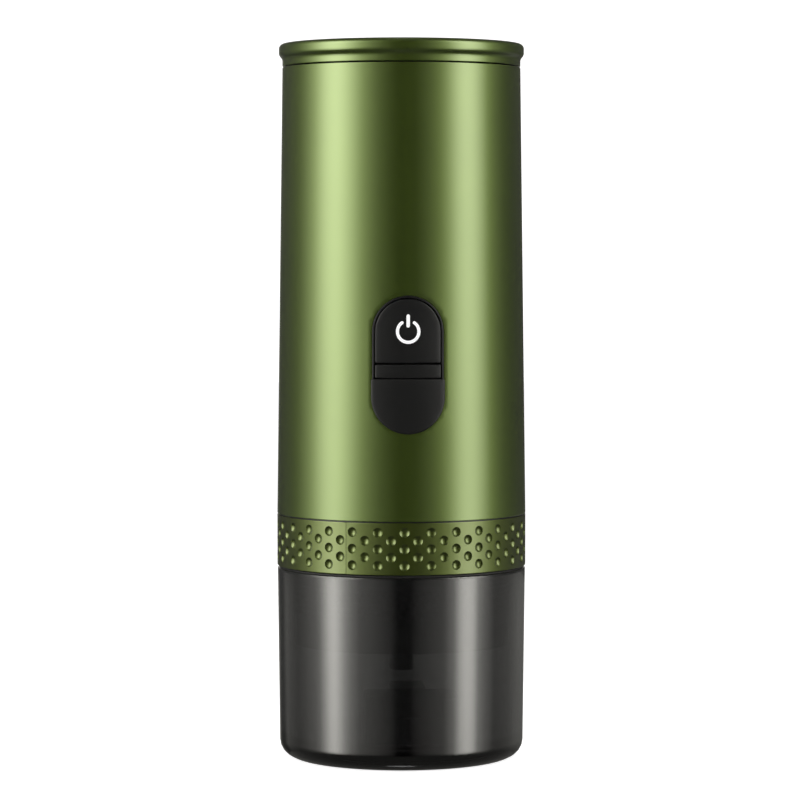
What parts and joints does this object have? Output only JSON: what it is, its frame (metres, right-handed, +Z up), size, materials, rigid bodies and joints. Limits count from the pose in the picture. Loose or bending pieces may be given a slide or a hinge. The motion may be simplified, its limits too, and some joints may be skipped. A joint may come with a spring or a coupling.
{
  "type": "portable electric espresso maker",
  "caption": "Slim cordless espresso maker: green tapered body with a dimpled grip ring, lid over its water tank, power button, port cover, brew head and clear cup.",
  "frame": {"origin": "centre of the foot, on the surface the cup stands on", "axes": "+Z up along the body's axis, -Y towards the control panel, +X to the right seen from the front"},
  "size_m": [0.072, 0.0721, 0.2058],
  "materials": {
    "green_shell": "green anodised, satin",
    "black_panel": "fine matt black",
    "black_body": "satin black",
    "smoked_clear": "smoked clear plastic",
    "black_rubber": "soft black",
    "white_rubber": "milky silicone",
    "steel": "brushed",
    "bright_steel": "bright",
    "aluminium": "plain",
    "brass": "turned",
    "white_lens": "milky white, lit from behind",
    "cell_wrap": "shrink-wrapped metal can",
    "board": "solder mask over glass fibre"
  },
  "bodies": {
    "cup": {"cup": "smoked_clear", "coffee_scoop": "black_body"},
    "brew_head": {"brew_barrel": "black_body", "coffee_basket": "steel", "outlet_spout": "black_body", "cup_seal": "black_rubber"},
    "machine": {"grip_ring": "green_shell", "sleeve": "green_shell", "brew_socket": "black_body", "head_gasket": "white_rubber", "shower_plate": "steel", "inlet_nozzle": "brass", "inner_frame": "black_body", "frame_screws": "bright_steel", "battery_cells": "cell_wrap", "cell_tabs": "bright_steel", "pump_head": "black_body", "pump_plunger": "bright_steel", "plunger_spring": "bright_steel", "pump_motor": "steel", "check_valve": "brass", "outlet_tube": "white_rubber", "inlet_tube": "white_rubber", "heater": "aluminium", "temperature_sensor": "brass", "thermal_fuse": "steel", "water_tank": "steel", "tank_gasket": "white_rubber", "tank_collar": "black_body", "circuit_board": "board", "board_screws": "bright_steel", "tact_switch": "black_body", "usb_socket": "bright_steel", "control_bezel": "black_panel", "port_cover_strap": "black_panel"},
    "rotor": {"motor_shaft": "bright_steel", "pump_eccentric": "steel"},
    "button": {"button_cap": "black_panel", "power_symbol": "white_lens", "switch_plunger": "black_body"},
    "port_cover": {"port_cover_flap": "black_panel"},
    "lid": {"lid_cap": "green_shell", "lid_plug": "black_body", "lid_seal": "white_rubber", "vent_valve": "white_rubber"}
  },
  "joints": [
    {"name": "brew_head_release", "type": "slide", "parent": "cup", "child": "brew_head", "axis": [0, 0, 1], "range_m": [0, 0.04]},
    {"name": "machine_release", "type": "slide", "parent": "brew_head", "child": "machine", "axis": [0, 0, 1], "range_m": [0, 0.025]},
    {"name": "lid_lift", "type": "slide", "parent": "machine", "child": "lid", "axis": [0, 0, 1], "range_m": [0, 0.03]},
    {"name": "power_button", "type": "slide", "parent": "machine", "child": "button", "axis": [0, 1, 0], "range_m": [0, 0.0005], "stiffness_N_per_m": 500, "springref_m": -0.001},
    {"name": "port_cover_hinge", "type": "hinge", "parent": "machine", "child": "port_cover", "pos_m": [0, -0.03593, 0.1108], "axis": [-1, 0, 0], "range_deg": [0, 110]},
    {"name": "motor_spin", "type": "hinge", "parent": "machine", "child": "rotor", "pos_m": [0, 0, 0.1], "axis": [0, 0, 1], "continuous": true}
  ]
}
